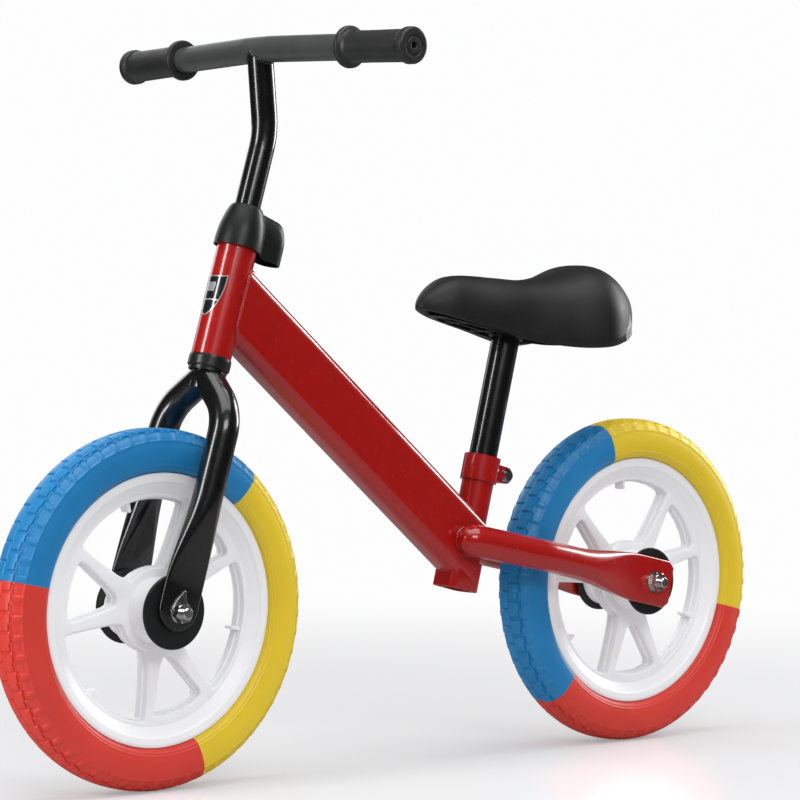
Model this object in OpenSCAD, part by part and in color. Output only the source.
// Toddler balance bike, 12 inch wheels.
// +X forward, +Y to the rider's left, +Z up. The origin is on the ground,
// midway between the two axles.

/* [Wheels] */
// Outer diameter of both tyres
wheel_d = 300; // [280:2:310]
// Distance between the axles
wheelbase = 552; // [545:1:560]
// Widest part of a tyre
tyre_w = 42; // [38:1:44]
// Radius where the tyre meets the rim edge
rim_edge_r = 113.5; // [112:0.5:116]
// Width of the rim across its edges
rim_w = 29; // [27:1:31]
// Outer diameter of the hub caps
hub_cap_d = 62; // [60:1:64]
// Distance between the outer faces of the two hub caps
hub_w = 68; // [66:0.5:70]
// Diameter of both axles
axle_d = 10; // [9:0.5:10]

/* [Steering] */
// Lean of the steering axis from vertical, in degrees
head_lean = 16.4; // [15:0.1:18]
// Outer diameter of the head tube
head_tube_d = 34; // [33:0.5:36]
// Length of the head tube
head_tube_len = 96; // [92:1:100]
// Height of the head tube's lower end above the axle, along the steering axis
head_tube_base = 216.5; // [214:0.5:220]
// Outer diameter of the steerer tube and of each fork leg
fork_tube_d = 25.4; // [25:0.1:26]
// Outer diameter of the stem and the handlebar
bar_d = 22.2; // [22:0.1:22.4]
// Width of the handlebar over its grips
bar_w = 380; // [360:2:410]
// Length of one grip
grip_len = 80; // [74:1:90]

/* [Frame] */
// Depth of the main beam
beam_h = 60; // [56:1:64]
// Width of the main beam
beam_w = 32; // [30:1:34]
// Slope of the main beam below level, towards the rear, in degrees
beam_slope = 39.2; // [38:0.1:40]
// Outer diameter of the seat tube and of each chain stay
frame_tube_d = 28.6; // [28:0.1:29]
// Wall of the frame tubes
wall = 1.6; // [1.4:0.1:1.8]
// Lean of the seat tube from vertical, in degrees
seat_lean = 14; // [13:0.5:15]
// Forward place of the seat tube's lower end, at axle height
seat_tube_x = -65; // [-68:1:-62]
// Length of the seat tube above axle height
seat_tube_len = 122; // [118:1:126]
// Slope of the chain stays below level, towards the rear, in degrees
stay_slope = 12; // [11:0.5:13]

/* [Seat] */
// Outer diameter of the seat post
post_d = 25.4; // [25:0.1:25.4]
// Length of the saddle
saddle_len = 252; // [240:2:264]
// Width of the saddle
saddle_w = 128; // [120:2:136]

/* [Hidden] */
$fn = 96;
eps = 0.01;

wheel_r = wheel_d / 2;
axle_x = wheelbase / 2;
beam_up = 53;                       // the beam's middle, up from the head tube's lower end
plate_t = 4;                        // a tube pressed flat: two walls
plate_in = hub_w / 2 + 1.4;         // inner face of every dropout plate
plate_mid = plate_in + plate_t / 2;
washer_t = 1.5;
nut_t = 7;
end_len = 5;                        // free end of an axle outside its nut
axle_end = plate_in + plate_t + washer_t + nut_t + end_len;
axle_fit = 0.05;                    // radial clearance on an axle
head_top = head_tube_base + head_tube_len;
cup_t = 10;                         // visible depth of a headset cup
steerer_bore = bar_d / 2 + 0.05;
red = [0.72, 0.06, 0.06];
gloss_black = [0.05, 0.05, 0.055];
matt_black = [0.12, 0.12, 0.13];
steel = [0.75, 0.76, 0.78];
white = [0.94, 0.94, 0.95];
blue = [0.10, 0.50, 0.80];
yellow = [0.93, 0.80, 0.15];
tyre_red = [0.88, 0.20, 0.15];

// ---- Places -----------------------------------------------------------

// The front axle's centre, with Z along the steering axis
module on_steering(h = 0) {
    translate([axle_x, 0, wheel_r]) rotate([0, -head_lean, 0]) translate([0, 0, h]) children();
}

// The foot of the seat tube, with Z along its axis
module on_seat_tube(h = 0) {
    translate([seat_tube_x, 0, wheel_r]) rotate([0, -seat_lean, 0]) translate([0, 0, h]) children();
}

// The middle of the main beam at the head tube, with Z along the beam towards the rear
module on_beam() {
    on_steering(head_tube_base + beam_up) rotate([0, head_lean - 90 - beam_slope, 0]) children();
}

// The rear axle's centre, with Z along the chain stay towards the front
module on_stay() {
    translate([-axle_x, 0, wheel_r]) rotate([0, 90 - stay_slope, 0]) children();
}

// A wheel's centre, with Z along its axle to the left
module on_wheel(x) {
    translate([x, 0, wheel_r]) rotate([-90, 0, 0]) children();
}

// ---- Shared shapes ----------------------------------------------------

module pipe(d, len, t) {
    difference() {
        cylinder(d = d, h = len);
        translate([0, 0, -1]) cylinder(d = d - 2 * t, h = len + 2);
    }
}

// A cylinder along Y, centred
module y_rod(d, len) {
    rotate([90, 0, 0]) cylinder(d = d, h = len, center = true);
}

// A rectangle with round corners, centred
module round_rect(w, h, r) {
    steps = 6;
    polygon([for (corner = [0:3], i = [0:steps])
        let (a = 90 * (corner + i / steps),
            sx = corner == 0 || corner == 3 ? 1 : -1,
            sy = corner < 2 ? 1 : -1)
        [sx * (w / 2 - r) + r * cos(a), sy * (h / 2 - r) + r * sin(a)]]);
}

// A hexagon nut or bolt head, standing on Z = 0
module hexagon(across_flats, t) {
    d = across_flats * 1.02;
    intersection() {
        cylinder(d = across_flats / cos(30), h = t, $fn = 6);
        cylinder(d1 = d, d2 = d + 2 * t, h = t, $fn = 64);
        translate([0, 0, -t]) cylinder(d1 = d + 4 * t, d2 = d, h = 2 * t, $fn = 64);
    }
}

// ---- Frame ------------------------------------------------------------

beam_len = 385;
beam_corner = 11;
beam_wall = 1.8;
beam_end_f = 6;                     // the beam's end, behind the seat tube's axis
lug_len = 45;                       // fore-and-aft size of the lug under the beam
seat_tube_r = frame_tube_d / 2;

module head_tube_outer() {
    on_steering(head_tube_base) cylinder(d = head_tube_d, h = head_tube_len);
}

module seat_tube_outer() {
    on_seat_tube(0) cylinder(d = frame_tube_d, h = seat_tube_len);
}

module beam_outer() {
    on_beam() linear_extrude(beam_len) round_rect(beam_h, beam_w, beam_corner);
}

module lug_outer() {
    on_seat_tube(0) translate([lug_len / 2 - seat_tube_r, 0, 0])
        linear_extrude(34) round_rect(lug_len, beam_w, 7);
}

module head_tube() {
    color(red) on_steering(head_tube_base) pipe(head_tube_d, head_tube_len, wall);
}

// A flat-sided tube, mitred on the head tube and closed round the seat tube
module main_beam() {
    color(red) difference() {
        beam_outer();
        on_beam() translate([0, 0, -1])
            linear_extrude(beam_len + 2)
                round_rect(beam_h - 2 * beam_wall, beam_w - 2 * beam_wall, beam_corner - beam_wall);
        head_tube_outer();
        on_steering(head_tube_base) translate([0, -50, -1]) cube([100, 100, head_tube_len + 2]);
        seat_tube_outer();
        on_seat_tube(0) translate([-100 - beam_end_f, -50, -100]) cube([100, 100, 300]);
        on_seat_tube(0) translate([-100, -50, -100]) cube([200, 100, 100]);
    }
}

// The round tube that holds the seat post, slotted at the back
module seat_tube() {
    color(red) difference() {
        on_seat_tube(0) pipe(frame_tube_d, seat_tube_len, wall - 0.05);
        on_seat_tube(seat_tube_len - 32) translate([-20, -1.2, 0]) cube([20, 2.4, 40]);
        on_seat_tube(seat_tube_len - 32) translate([-15, 0, 0]) rotate([0, 90, 0])
            cylinder(d = 5, h = 20, center = true);
    }
}

// A box-shaped piece that fills the corner between the beam and the seat tube's foot
module beam_end_lug() {
    color(red) difference() {
        lug_outer();
        on_seat_tube(-1) translate([lug_len / 2 - seat_tube_r, 0, 0])
            linear_extrude(40) round_rect(lug_len - 2 * wall, beam_w - 2 * wall, 7 - wall);
        beam_outer();
        seat_tube_outer();
    }
}

stay_y = 39.5;                      // middle of a stay's round part
stay_bend_s = 140;                  // where a stay turns inwards, from the axle
stay_bend_r = 60;
stay_toe = 12;                      // angle of its front part
stay_front_len = 68;
stay_nose_len = 14;                 // the closed, tapered end welded to the beam
stay_nose_r = 6;
stay_flat_h = 44;                   // a tube pressed flat is half its girth deep
stay_crease_s = 20;

module stay_path(inset) {
    r = frame_tube_d / 2 - inset;
    translate([0, stay_y, 108]) cylinder(r = r, h = stay_bend_s - 108);
    translate([0, stay_y - stay_bend_r, stay_bend_s]) {
        rotate([90, 0, 90]) rotate_extrude(angle = stay_toe) translate([stay_bend_r, 0]) circle(r);
        rotate([stay_toe, 0, 0]) translate([0, stay_bend_r, 0]) rotate_extrude()
            polygon([[0, 0], [r, 0], [r, stay_front_len],
                [stay_nose_r - inset, stay_front_len + stay_nose_len - inset],
                [0, stay_front_len + stay_nose_len - inset]]);
    }
}

module stay_taper() {
    hull() {
        translate([0, stay_y, 107]) cylinder(d = frame_tube_d, h = 1.1, $fn = 32);
        translate([0, stay_y - 1, 70]) linear_extrude(1) resize([36, 16]) circle(r = 10, $fn = 32);
    }
    hull() {
        translate([0, stay_y - 1, 70]) linear_extrude(1) resize([36, 16]) circle(r = 10, $fn = 32);
        translate([0, plate_mid, stay_crease_s]) linear_extrude(1)
            square([stay_flat_h, plate_t], center = true);
    }
}

// A round tube with a closed nose, cut flush where it meets the beam's side, and
// pressed flat at the back into the plate that takes the axle
module chain_stay() {
    difference() {
        on_stay() union() {
            difference() {
                stay_path(0);
                stay_path(wall);
            }
            stay_taper();
            translate([0, plate_mid, 0]) rotate([90, 0, 0]) linear_extrude(plate_t, center = true)
                polygon([[-stay_flat_h / 2, stay_crease_s + 1], [stay_flat_h / 2, stay_crease_s + 1],
                    [stay_flat_h / 2, -17], [stay_flat_h / 2 - 4, -22],
                    [4 - stay_flat_h / 2, -22], [-stay_flat_h / 2, -17]]);
        }
        translate([-axle_x, 0, wheel_r]) y_rod(axle_d + 2 * axle_fit, 200);
        translate([-axle_x, -beam_w / 2, 0]) cube([wheelbase, beam_w, 2 * wheel_d]);
    }
}

module left_chain_stay() {
    color(red) chain_stay();
}

module right_chain_stay() {
    color(red) mirror([0, 1, 0]) chain_stay();
}

clamp_h = 23;                       // depth of the seat clamp's band
clamp_d = 33;
clamp_bolt_f = 27;                  // clamp bolt, behind the seat tube's axis
clamp_mid = seat_tube_len - clamp_h / 2;

module seat_clamp() {
    color(red) on_seat_tube(clamp_mid) difference() {
        union() {
            cylinder(d = clamp_d, h = clamp_h, center = true);
            for (side = [-1, 1]) translate([-clamp_bolt_f, side * 3.9, 0]) {
                y_rod(15, 4);
                translate([8, 0, 0]) cube([16, 4, 15], center = true);
            }
        }
        cylinder(d = frame_tube_d, h = clamp_h + 2, center = true);
        translate([-20, 0, 0]) cube([40, 3.6, clamp_h + 2], center = true);
        translate([-clamp_bolt_f, 0, 0]) y_rod(6.4, 20);
    }
}

module seat_clamp_bolt() {
    color(steel) on_seat_tube(clamp_mid) translate([-clamp_bolt_f, 0, 0]) {
        translate([0, -3, 0]) y_rod(6, 18);
        translate([0, 5.95, 0]) rotate([-90, 0, 0]) cylinder(d1 = 13, d2 = 9, h = 4);
    }
}

module seat_clamp_nut() {
    color(steel) on_seat_tube(clamp_mid) translate([-clamp_bolt_f, -5.95, 0]) rotate([90, 0, 0])
        difference() {
            hexagon(10, 5);
            translate([0, 0, -1]) cylinder(d = 6.05, h = 7);
        }
}

badge_w = 34;
badge_h = 46;

// A plain shield-shaped plate on the front of the head tube
module head_badge() {
    color([0.1, 0.1, 0.1]) on_steering(head_tube_base + 26) intersection() {
        difference() {
            cylinder(r = head_tube_d / 2 + 0.4, h = badge_h + 5);
            translate([0, 0, -1]) cylinder(r = head_tube_d / 2 + eps, h = badge_h + 7);
        }
        rotate([90, 0, 90]) linear_extrude(30) intersection() {
            translate([-badge_w / 2 * 0.92, 0]) square([badge_w * 0.92, badge_h]);
            translate([-badge_w * 0.58, badge_h * 0.62]) circle(badge_w * 1.04);
            translate([badge_w * 0.58, badge_h * 0.62]) circle(badge_w * 1.04);
        }
    }
}

ball_d = 3.6;
ball_ring_r = 14.9;
race_gap = 0.3;

// Headset cup: a ring below the head tube's end with a recess for the balls
module headset_cup() {
    r = head_tube_d / 2 + 1;
    lip_in_r = 15;
    recess_r = 16.9;
    rotate_extrude()
        polygon([[lip_in_r, 0], [r - 0.4, 0], [r, -2], [r, -cup_t + 1], [r - 0.6, -cup_t],
            [recess_r, -cup_t], [recess_r, -4], [lip_in_r, -4]]);
}

module headset_balls() {
    count = 16;
    for (i = [0:count - 1]) rotate([0, 0, i * 360 / count])
        translate([ball_ring_r, 0, 0]) sphere(d = ball_d, $fn = 24);
    difference() {
        cylinder(r = ball_ring_r + 0.5, h = 1.4, center = true);
        cylinder(r = ball_ring_r - 0.5, h = 2, center = true);
    }
}

module lower_headset_cup() {
    color(gloss_black) on_steering(head_tube_base) headset_cup();
}

module upper_headset_cup() {
    color(gloss_black) on_steering(head_top) mirror([0, 0, 1]) headset_cup();
}

module lower_headset_balls() {
    color(steel) on_steering(head_tube_base - 4 - ball_d / 2 - 0.1) headset_balls();
}

module upper_headset_balls() {
    color(steel) on_steering(head_top + 4 + ball_d / 2 + 0.1) headset_balls();
}

// ---- Wheel axles ------------------------------------------------------

cone_d = 16;
cone_in = 20;                       // inner end of each cone, from the middle
bearing_w = 9;
bearing_out = 31;                   // outer face of each bearing, from the middle
bearing_d = 28;

// A rod with a slightly thinner, chamfered end outside each nut
module axle(x) {
    half = axle_end - end_len;
    color(steel) on_wheel(x) {
        cylinder(d = axle_d, h = 2 * half, center = true);
        for (side = [0, 1]) mirror([0, 0, side]) translate([0, 0, half]) {
            cylinder(d = axle_d - 0.4, h = end_len - 1);
            translate([0, 0, end_len - 1]) cylinder(d1 = axle_d - 0.4, d2 = axle_d - 2.4, h = 1);
        }
    }
}

// One piece on each end of the axle, standing on the plane z from the middle
module both_ends(x, z) {
    on_wheel(x) for (side = [0, 1]) mirror([0, 0, side]) translate([0, 0, z]) children();
}

module axle_bore(t) {
    translate([0, 0, -1]) cylinder(d = axle_d + 2 * axle_fit, h = t + 2);
}

module axle_nuts(x) {
    color(steel) both_ends(x, plate_in + plate_t + washer_t) difference() {
        rotate([0, 0, 12]) hexagon(15, nut_t);
        axle_bore(nut_t);
    }
}

module bearing_cones(x) {
    color(steel) both_ends(x, cone_in) difference() {
        cylinder(d = cone_d, h = plate_in - cone_in);
        axle_bore(plate_in);
    }
}

module rear_axle() {
    axle(-axle_x);
}

module rear_axle_nuts() {
    axle_nuts(-axle_x);
}

module rear_axle_washers() {
    color(steel) both_ends(-axle_x, plate_in + plate_t) difference() {
        cylinder(d = 20, h = washer_t);
        axle_bore(washer_t);
    }
}

module rear_bearing_cones() {
    bearing_cones(-axle_x);
}

module front_axle() {
    axle(axle_x);
}

module front_axle_nuts() {
    axle_nuts(axle_x);
}

module front_bearing_cones() {
    bearing_cones(axle_x);
}

// Teardrop washers whose points face up the fork legs
module front_hook_washers() {
    color(steel) on_steering(0) for (side = [0, 1]) mirror([0, side, 0])
        translate([0, plate_in + plate_t, 0]) rotate([-90, 0, 0]) difference() {
            linear_extrude(washer_t) {
                circle(10);
                polygon([[-9.6, -3], [9.6, -3], [4.5, -16], [-3, -25]]);
            }
            axle_bore(washer_t);
        }
}

// ---- Fork -------------------------------------------------------------

steerer_top = head_top + 28;
leg_y = 40.5;                       // middle of a leg's round part
leg_bend_h = 150;                   // where a leg starts to curve inwards
leg_bend_r = 40;
leg_bend_a = 52;
leg_top_len = 26;                   // straight part above the bend
leg_top_h = 202;                    // the legs are trimmed flat below the crown race
leg_r = fork_tube_d / 2;
leg_flat_w = 39;

module steerer_outer() {
    on_steering(188) cylinder(d = fork_tube_d, h = steerer_top - 188);
}

module steerer_tube() {
    color(gloss_black) difference() {
        steerer_outer();
        on_steering(187) cylinder(r = steerer_bore, h = steerer_top - 186);
        on_steering(steerer_top - 24) translate([-20, -1.2, 0]) cube([20, 2.4, 30]);
    }
}

module leg_path(r) {
    translate([0, leg_y, 82]) cylinder(r = r, h = leg_bend_h - 82);
    translate([0, leg_y - leg_bend_r, leg_bend_h]) rotate([90, 0, 90])
        rotate_extrude(angle = leg_bend_a) translate([leg_bend_r, 0]) circle(r);
    translate([0, leg_y - leg_bend_r, leg_bend_h]) rotate([leg_bend_a, 0, 0])
        translate([0, leg_bend_r, 0]) cylinder(r = r, h = leg_top_len);
}

// A bent tube, pressed flat at the bottom into the plate that takes the axle
module fork_leg() {
    difference() {
        on_steering(0) union() {
            difference() {
                leg_path(leg_r);
                leg_path(leg_r - wall);
            }
            hull() {
                translate([0, leg_y, 81]) cylinder(r = leg_r, h = 1.1, $fn = 32);
                translate([0, leg_y - 1, 55]) linear_extrude(1) resize([32, 15]) circle(r = 10, $fn = 32);
            }
            hull() {
                translate([0, leg_y - 1, 55]) linear_extrude(1) resize([32, 15]) circle(r = 10, $fn = 32);
                translate([0, plate_mid, 26]) linear_extrude(1)
                    square([leg_flat_w, plate_t], center = true);
            }
            translate([0, plate_mid, 0]) rotate([90, 0, 0]) linear_extrude(plate_t, center = true) {
                translate([-leg_flat_w / 2, 4]) square([leg_flat_w, 22.5]);
                translate([0, 4]) circle(leg_flat_w / 2);
            }
        }
        translate([axle_x, 0, wheel_r]) y_rod(axle_d + 2 * axle_fit, 200);
        steerer_outer();
        on_steering(0) translate([-50, -100, 0]) cube([100, 100, 300]);
        on_steering(leg_top_h) translate([-50, -1, 0]) cube([100, 100, 50]);
    }
}

module left_fork_leg() {
    color(gloss_black) fork_leg();
}

module right_fork_leg() {
    color(gloss_black) mirror([0, 1, 0]) fork_leg();
}

race_top = head_tube_base - 4 - ball_d - 0.2 - race_gap;

module fork_crown_race() {
    color(gloss_black) on_steering(0) difference() {
        translate([0, 0, race_top - 5]) cylinder(r = 16.4, h = 5);
        translate([0, 0, race_top - 6]) cylinder(d = fork_tube_d, h = 7);
    }
}

module upper_cone_nut() {
    base = head_top + 4 + ball_d + 0.2 + race_gap;
    color(steel) on_steering(0) difference() {
        translate([0, 0, base]) cylinder(r = 16.2, h = 4);
        translate([0, 0, base - 1]) cylinder(d = fork_tube_d, h = 6);
    }
}

stem_clamp_base = head_top + 13;
stem_clamp_h = 10;
stem_clamp_mid = stem_clamp_base + stem_clamp_h / 2;
stem_bolt_f = 32;
pod_f = 33;                         // middle of the cover's rear pod, behind the axis
pod_r = 12;
cover_t = 1.4;

// A split collar that squeezes the slotted steerer tube on the stem
module stem_clamp() {
    color(steel) on_steering(stem_clamp_mid) difference() {
        union() {
            cylinder(d = 28.8, h = stem_clamp_h, center = true);
            for (side = [-1, 1]) translate([-stem_bolt_f, side * 3, 0]) {
                y_rod(stem_clamp_h, 2.6);
                translate([9.5, 0, 0]) cube([19, 2.6, stem_clamp_h], center = true);
            }
        }
        cylinder(d = fork_tube_d, h = stem_clamp_h + 2, center = true);
        translate([-22, 0, 0]) cube([44, 3.4, stem_clamp_h + 2], center = true);
        translate([-stem_bolt_f, 0, 0]) y_rod(5.3, 20);
    }
}

module stem_clamp_bolt() {
    color(steel) on_steering(stem_clamp_mid) translate([-stem_bolt_f, 0, 0]) {
        translate([0, -1.75, 0]) y_rod(5, 13.5);
        translate([0, 4.35, 0]) rotate([-90, 0, 0]) hexagon(8, 3);
    }
}

module stem_clamp_nut() {
    color(steel) on_steering(stem_clamp_mid) translate([-stem_bolt_f, -4.35, 0]) rotate([90, 0, 0])
        difference() {
            hexagon(8, 3);
            translate([0, 0, -1]) cylinder(d = 5.05, h = 6);
        }
}

cover_h = 37;
cover_base = head_top - 1;

// Outline of the cover's bell: radius at a fraction of its height
function bell_r(t) = 13.4 + 7.1 * (1 - pow(t, 2.4));
// Outline of the pod: radius at a fraction of its height
function pod_radius(t) = pod_r * sqrt(1 - pow(max(t - 0.35, 0) / 0.66, 2));

module bell(grow) {
    steps = 8;
    rotate_extrude() polygon(concat([[0, 0]],
        [for (i = [0:steps]) [bell_r(i / steps) + grow, cover_h * i / steps]], [[0, cover_h]]));
}

module pod(grow) {
    steps = 8;
    rotate_extrude() polygon(concat([[0, 0]],
        [for (i = [0:steps]) [pod_radius(i / steps) + grow, 38 * i / steps]], [[0, 38]]));
}

// The plastic cover over the stem clamp: a bell with a pod behind for the bolt
module clamp_cover() {
    color(matt_black) on_steering(0) difference() {
        union() {
            translate([0, 0, cover_base]) bell(0);
            translate([-pod_f, 0, cover_base - 3]) pod(0);
            translate([-pod_f, -8, cover_base - 3]) cube([pod_f - 14, 16, 30]);
        }
        translate([0, 0, cover_base - eps]) bell(-cover_t);
        translate([-pod_f, 0, cover_base - 3 - eps]) pod(-cover_t);
        translate([-pod_f, -6.6, cover_base - 4]) cube([pod_f, 13.2, 29.6]);
        translate([0, 0, cover_base - 10]) cylinder(r = 19.4, h = 10 + eps);
        translate([0, 0, cover_base]) cylinder(r = bar_d / 2 + 0.5, h = cover_h + 2);
    }
}

// ---- Stem, handlebar and grips ----------------------------------------

stem_foot = steerer_top - 70;       // lower end of the stem inside the steerer tube
stem_bend_h = 400;
stem_bend_r = 75;
stem_bend_a = 22;
bar_f = 25.5;                       // the bar's middle, in front of the steering axis
bar_h = 479;
bar_bend = 2.8;                     // angle by which each half turns back and down
bar_bend_turn = 140;                // direction of that turn: forward is 0, down is 90
bar_bend_r = 40;
bar_mid_w = 26;                     // straight middle of the bar
bar_half_len = (bar_w - bar_mid_w) / 2 - bar_bend_r * sin(bar_bend);
stem_wall = 1.6;

module stem_path(r) {
    translate([0, 0, stem_foot]) cylinder(r = r, h = stem_bend_h - stem_foot);
    translate([stem_bend_r, 0, stem_bend_h]) rotate([90, 0, 0]) rotate([0, 0, 180 - stem_bend_a])
        rotate_extrude(angle = stem_bend_a) translate([stem_bend_r, 0]) circle(r);
    translate([stem_bend_r, 0, stem_bend_h]) rotate([0, stem_bend_a, 0])
        translate([-stem_bend_r, 0, 0]) cylinder(r = r, h = 50);
}

// The middle of the bar, level and straight
module on_bar_middle() {
    on_steering(bar_h) translate([bar_f, 0, 0]) rotate([0, head_lean, 0]) children();
}

// The start of the bend on one side of the bar: +Y outwards, +X to where that half turns
module on_bar_bend(side) {
    on_bar_middle() rotate([0, bar_bend_turn, 0]) mirror([0, side < 0 ? 1 : 0, 0])
        translate([bar_bend_r, bar_mid_w / 2, 0]) children();
}

// The straight part of one half of the bar, with Z towards its end
module on_bar_half(side) {
    on_bar_bend(side) rotate([0, 0, -bar_bend]) translate([-bar_bend_r, 0, 0]) rotate([-90, 0, 0]) children();
}

module stem() {
    color(gloss_black) difference() {
        on_steering(0) stem_path(bar_d / 2);
        on_steering(stem_foot - 1) cylinder(r = bar_d / 2 - stem_wall, h = stem_bend_h - stem_foot - 10);
        on_bar_middle() y_rod(bar_d, bar_mid_w);
    }
}

module handlebar() {
    color(matt_black) {
        on_bar_middle() y_rod(bar_d, bar_mid_w);
        for (side = [-1, 1]) {
            on_bar_bend(side) rotate([0, 0, 180 - bar_bend]) rotate_extrude(angle = bar_bend)
                translate([bar_bend_r, 0]) circle(d = bar_d);
            on_bar_half(side) difference() {
                cylinder(d = bar_d, h = bar_half_len - 4);
                translate([0, 0, 14]) cylinder(d = bar_d - 2 * wall, h = bar_half_len);
            }
        }
    }
}

grip_d = 27;
grip_flange_in = 35;
grip_flange_out = 30.5;

// A ribbed rubber sleeve with a wide flange inboard and a small one at its closed end
module grip(side) {
    color(matt_black) on_bar_half(side) translate([0, 0, bar_half_len - grip_len])
        rotate_extrude() polygon([
            [bar_d / 2, 0], [grip_flange_in / 2 - 1, 0], [grip_flange_in / 2, 1], [grip_flange_in / 2, 5],
            [grip_flange_in / 2 - 1, 6], [grip_d / 2 + 1, 7], [grip_d / 2 - 0.5, 12], [grip_d / 2, 40],
            [grip_d / 2, grip_len - 9], [grip_flange_out / 2 - 0.6, grip_len - 7.5],
            [grip_flange_out / 2, grip_len - 6.5], [grip_flange_out / 2, grip_len - 1.5],
            [grip_flange_out / 2 - 1.5, grip_len], [2.5, grip_len], [2.5, grip_len - 4],
            [bar_d / 2, grip_len - 4]]);
}

module left_grip() {
    grip(1);
}

module right_grip() {
    grip(-1);
}

// ---- Wheels -----------------------------------------------------------

rim_bed_r = 108;
rim_in_r = 93;
rim_in_w = 6;                       // half the ring's width at its inner edge
flange_t = 3;
hub_d = 52;
cap_t = 3;
drum_half = hub_w / 2 - cap_t;
spoke_t = 16;
rib_len = 9;                        // of the short ribs between the spokes

// The ring's cross-section is dished: wide at its lip and narrow at its inner edge
module rim_ring() {
    w = rim_w / 2;
    half = [[rim_in_r, rim_in_w], [rim_in_r + 11, w - 2], [rim_in_r + 13, w], [rim_edge_r - 1, w],
        [rim_edge_r, w - 1], [rim_edge_r, w - flange_t], [rim_bed_r, w - flange_t - 1]];
    other = [for (i = [len(half) - 1:-1:0]) [half[i][0], -half[i][1]]];
    rotate_extrude() polygon(concat(half, other));
}

// Half of a Y spoke: it leaves the hub as one trunk, parts round a window and ends
// in a flared foot under the ring
module spoke_arm(side) {
    outside = [[22, 0], [22, 14], [30, 17], [40, 19.5], [56, 25], [73, 31.5], [86, 38.5], [88, 44]];
    foot = [[91.5, 36], [95, 26], [97, 14], [98, 0]];
    window = [[89, 0], [87.5, 17], [85.5, 23], [82, 25.5], [46, 8.5], [42, 4.5], [41, 0]];
    linear_extrude(spoke_t, center = true)
        polygon([for (p = concat(outside, foot, window)) [p[0], side * p[1]]]);
}

// One-piece plastic rim with three Y spokes; first is the angle of one of them
module rim(x, first) {
    color(white) on_wheel(x) difference() {
        union() {
            rim_ring();
            cylinder(d = hub_d, h = 2 * drum_half, center = true);
            for (i = [0:2]) rotate([0, 0, -first - 120 * i]) {
                spoke_arm(-1);
                spoke_arm(1);
                rotate([0, 0, 60]) translate([rim_in_r - rib_len, -1.5, -rim_in_w + 0.5])
                    cube([rib_len + 2, 3, 2 * rim_in_w - 1]);
            }
        }
        cylinder(d = cone_d + 2, h = hub_w + 2, center = true);
        for (side = [0, 1]) mirror([0, 0, side]) translate([0, 0, bearing_out - bearing_w])
            cylinder(d = bearing_d, h = 20);
    }
}

// Cross-section of the foam tyre, symmetric about its middle
tyre_half = [[rim_bed_r, 0], [rim_bed_r, rim_w / 2 - flange_t - 1], [rim_edge_r, rim_w / 2 - flange_t],
    [rim_edge_r, rim_w / 2], [rim_edge_r + 3, tyre_w / 2 - 3.5], [rim_edge_r + 9, tyre_w / 2 - 0.8],
    [rim_edge_r + 15, tyre_w / 2], [wheel_r - 14, tyre_w / 2 - 0.4], [wheel_r - 7.5, tyre_w / 2 - 2.5],
    [wheel_r - 3, tyre_w / 2 - 7], [wheel_r - 0.8, tyre_w / 2 - 13], [wheel_r, 5]];
function flip(points) = [for (i = [len(points) - 1:-1:1]) [points[i][0], -points[i][1]]];

// One coloured third of a foam tyre; from is the angle of its lower end
module tyre_third(x, from, c) {
    color(c) on_wheel(x) rotate([0, 0, -from - 120]) rotate_extrude(angle = 120)
        polygon(concat(tyre_half, flip(tyre_half)));
}

front_tyre_angle = 11.7;
rear_tyre_angle = 74;
front_spoke_angle = 13;
rear_spoke_angle = 25;

module front_rim() {
    rim(axle_x, front_spoke_angle);
}

module rear_rim() {
    rim(-axle_x, rear_spoke_angle);
}

module front_tyre_blue() {
    tyre_third(axle_x, front_tyre_angle, blue);
}

module front_tyre_yellow() {
    tyre_third(axle_x, front_tyre_angle + 120, yellow);
}

module front_tyre_red() {
    tyre_third(axle_x, front_tyre_angle + 240, tyre_red);
}

module rear_tyre_yellow() {
    tyre_third(-axle_x, rear_tyre_angle, yellow);
}

module rear_tyre_red() {
    tyre_third(-axle_x, rear_tyre_angle + 120, tyre_red);
}

module rear_tyre_blue() {
    tyre_third(-axle_x, rear_tyre_angle + 240, blue);
}

// A black disc that closes the bearing pocket, one on each side of the hub
module hub_cap(x, side) {
    color(gloss_black) on_wheel(x) mirror([0, 0, side]) translate([0, 0, drum_half]) difference() {
        rotate_extrude() polygon([[cone_d / 2 + 1, 0], [hub_cap_d / 2 - 0.6, 0], [hub_cap_d / 2, 0.6],
            [hub_cap_d / 2, cap_t - 0.8], [hub_cap_d / 2 - 0.8, cap_t], [cone_d / 2 + 1, cap_t]]);
    }
}

module front_left_hub_cap() {
    hub_cap(axle_x, 0);
}

module front_right_hub_cap() {
    hub_cap(axle_x, 1);
}

module rear_left_hub_cap() {
    hub_cap(-axle_x, 0);
}

module rear_right_hub_cap() {
    hub_cap(-axle_x, 1);
}

module bearings(x) {
    color(steel) both_ends(x, bearing_out - bearing_w) difference() {
        cylinder(d = bearing_d, h = bearing_w);
        translate([0, 0, -1]) cylinder(d = cone_d + 0.1, h = bearing_w + 2);
    }
}

module front_bearings() {
    bearings(axle_x);
}

module rear_bearings() {
    bearings(-axle_x);
}

// ---- Seat -------------------------------------------------------------

post_foot = 72;                     // lower end of the post, along the seat tube
post_top = 262;
saddle_x = -15;                     // forward tip of the saddle
saddle_rings = 18;
saddle_sides = 18;

module seat_post() {
    color(gloss_black) difference() {
        on_seat_tube(post_foot) pipe(post_d, post_top - post_foot, 1.8);
        on_seat_tube(saddle_bolt_h) y_rod(5.2, 40);
    }
}

// Slope of a curve, given by [place, value] points, at its point i
function slope(c, i) =
    let (a = max(i - 1, 0), b = min(i + 1, len(c) - 1))
        (c[b][1] - c[a][1]) / (c[b][0] - c[a][0]);
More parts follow.
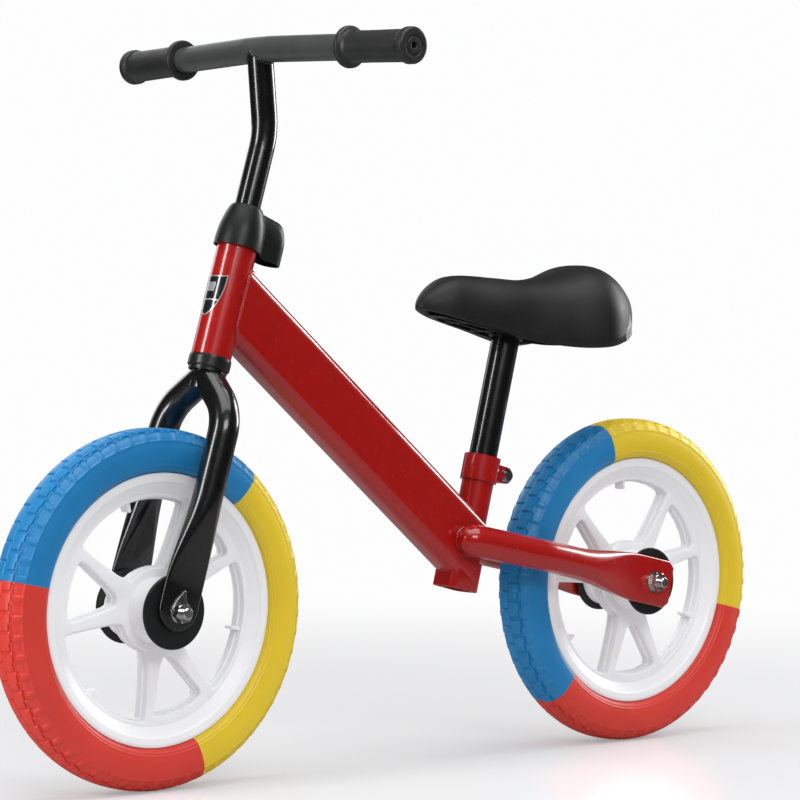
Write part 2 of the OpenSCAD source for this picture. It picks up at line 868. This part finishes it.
// Height of a smooth curve through those points, at place t
function read(c, t, i = 0) =
    i < len(c) - 2 && t > c[i + 1][0] ? read(c, t, i + 1)
    : let (w = c[i + 1][0] - c[i][0], u = (t - c[i][0]) / w)
        c[i][1] * (1 + 2 * u) * pow(1 - u, 2) + slope(c, i) * w * u * pow(1 - u, 2)
        + c[i + 1][1] * u * u * (3 - 2 * u) + slope(c, i + 1) * w * u * u * (u - 1);

// The saddle's outline: [fraction of its length from the nose, height or half width]
saddle_crest = [
    [0, 401], [0.06, 415], [0.2, 429], [0.45, 426], [0.62, 431], [0.8, 444], [0.92, 434], [1, 410]];
saddle_skirt = [[0, 399], [0.1, 392], [0.3, 381], [0.5, 371], [0.7, 368], [0.85, 376], [1, 405]];
saddle_half = [
    [0, 6], [0.05, 19], [0.15, 27], [0.4, 33], [0.6, 50], [0.78, saddle_w / 2], [0.9, 55], [1, 16]];

// One cross-section: the upper half of a rounded shape standing on the skirt line
function saddle_ring(t, shrink) =
    let (hw = max(read(saddle_half, t) - shrink, 2), top = read(saddle_crest, t) - shrink,
        low = min(read(saddle_skirt, t), top - 3),
        x = saddle_x - saddle_len * (shrink / saddle_len + t * (1 - 2 * shrink / saddle_len)))
    [for (k = [0:saddle_sides - 1])
        let (a = 180 * k / (saddle_sides - 1), c = cos(a), s = sin(a))
        [x, hw * sign(c) * pow(abs(c), 0.75), low + (top - low) * pow(s, 0.8)]];

module saddle_solid(shrink) {
    rings = [for (i = [0:saddle_rings]) each saddle_ring(i / saddle_rings, shrink)];
    n = saddle_sides;
    sides = [for (i = [0:saddle_rings - 1], k = [0:n - 1])
        [i * n + k, i * n + (k + 1) % n, (i + 1) * n + (k + 1) % n, (i + 1) * n + k]];
    polyhedron(rings, concat(sides, [[for (k = [n - 1:-1:0]) k]],
        [[for (k = [0:n - 1]) saddle_rings * n + k]]), convexity = 6);
}

pad_t = 8;                          // thickness of the soft top
pan_t = 3;                          // thickness of the pan under it
socket_wall = 3;                    // of the socket that the post drives into
saddle_bolt_h = post_top - 18;      // cross bolt through socket and post
bolt_head_y = post_d / 2 + socket_wall + 0.1;

// The soft top, hollow underneath
module saddle_pad() {
    color(matt_black) difference() {
        saddle_solid(0);
        translate([0, 0, -pad_t]) saddle_solid(pad_t);
    }
}

// What is open under the pan: all but the ribs and the socket
module pan_hollow() {
    difference() {
        translate([0, 0, -pad_t - pan_t]) saddle_solid(pad_t + pan_t);
        for (x = [-60, -95, -205]) translate([x, -saddle_w / 2, 0]) cube([2.5, saddle_w, 1000]);
        translate([saddle_x - saddle_len, -1.25, 0]) cube([saddle_len, 2.5, 1000]);
        on_seat_tube(post_top - 60) cylinder(d = post_d + 2 * socket_wall, h = 120);
    }
}

// The stiff pan inside the pad, ribbed below, with the socket that the post drives into
module saddle_base() {
    color(matt_black) difference() {
        intersection() {
            translate([0, 0, -pad_t - 0.1]) saddle_solid(pad_t + 0.1);
            saddle_solid(0);
        }
        pan_hollow();
        on_seat_tube(post_top - 60) cylinder(d = post_d + 0.1, h = 60);
        on_seat_tube(saddle_bolt_h) y_rod(5.2, 60);
    }
}

module saddle_bolt() {
    head_t = 3;
    reach = bolt_head_y + 4;
    color(steel) on_seat_tube(saddle_bolt_h) {
        translate([0, (bolt_head_y + 0.5 - reach) / 2, 0]) y_rod(5, bolt_head_y + 0.5 + reach);
        translate([0, bolt_head_y, 0]) rotate([-90, 0, 0]) hexagon(8, head_t);
    }
}

module saddle_nut() {
    color(steel) on_seat_tube(saddle_bolt_h) translate([0, -bolt_head_y, 0]) rotate([90, 0, 0])
        difference() {
            hexagon(8, 3.4);
            translate([0, 0, -1]) cylinder(d = 5.05, h = 6);
        }
}

// ---- Drawing ----------------------------------------------------------

head_tube();
main_beam();
seat_tube();
beam_end_lug();
left_chain_stay();
right_chain_stay();
seat_clamp();
seat_clamp_bolt();
seat_clamp_nut();
head_badge();
upper_headset_cup();
lower_headset_cup();
upper_headset_balls();
lower_headset_balls();
rear_axle();
rear_axle_nuts();
rear_axle_washers();
rear_bearing_cones();
steerer_tube();
left_fork_leg();
right_fork_leg();
fork_crown_race();
upper_cone_nut();
stem_clamp();
stem_clamp_bolt();
stem_clamp_nut();
clamp_cover();
front_axle();
front_axle_nuts();
front_hook_washers();
front_bearing_cones();
stem();
handlebar();
left_grip();
right_grip();
front_rim();
front_tyre_blue();
front_tyre_yellow();
front_tyre_red();
front_left_hub_cap();
front_right_hub_cap();
front_bearings();
rear_rim();
rear_tyre_blue();
rear_tyre_yellow();
rear_tyre_red();
rear_left_hub_cap();
rear_right_hub_cap();
rear_bearings();
seat_post();
saddle_base();
saddle_pad();
saddle_bolt();
saddle_nut();
